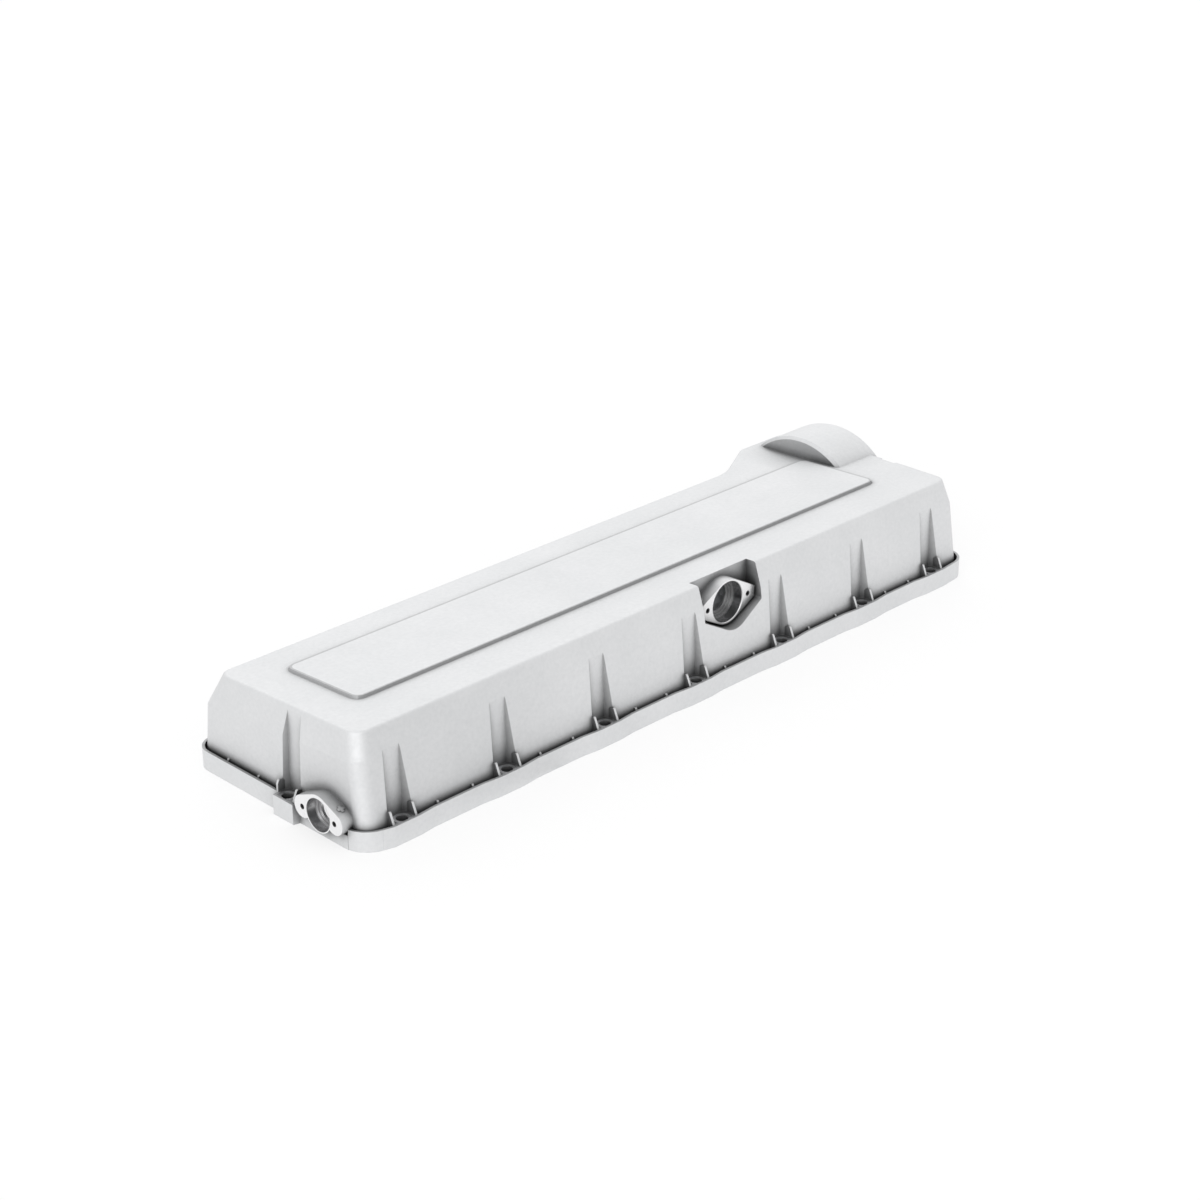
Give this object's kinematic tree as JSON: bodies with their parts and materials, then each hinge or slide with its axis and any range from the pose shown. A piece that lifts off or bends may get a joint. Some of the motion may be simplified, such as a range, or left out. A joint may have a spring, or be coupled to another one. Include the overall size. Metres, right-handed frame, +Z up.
{
  "type": "engine valve cover",
  "caption": "Long cast cover for an in-line engine's valve gear, with a raised gear hump, a recessed side port, an end port and bolt bosses in wall flutes.",
  "frame": {"origin": "on the sealing face, midway between the third and fourth cylinders and midway between the front and back bolt lines", "axes": "+X along the engine toward the timing-gear hump, +Y toward the back side that bulges round the gear, +Z up from the sealing face through the deck"},
  "size_m": [1.1017, 0.3663, 0.1538],
  "materials": {
    "cast_aluminium": "as-cast, fine shot-blasted skin with machined port faces",
    "seal_rubber": "matt moulded rubber",
    "sheet_steel": "zinc-plated pressed sheet",
    "screw_steel": "zinc-plated"
  },
  "bodies": {
    "root": {"cover": "cast_aluminium", "gasket": "seal_rubber", "baffle_tray": "sheet_steel", "baffle_screws": "screw_steel"}
  },
  "joints": []
}
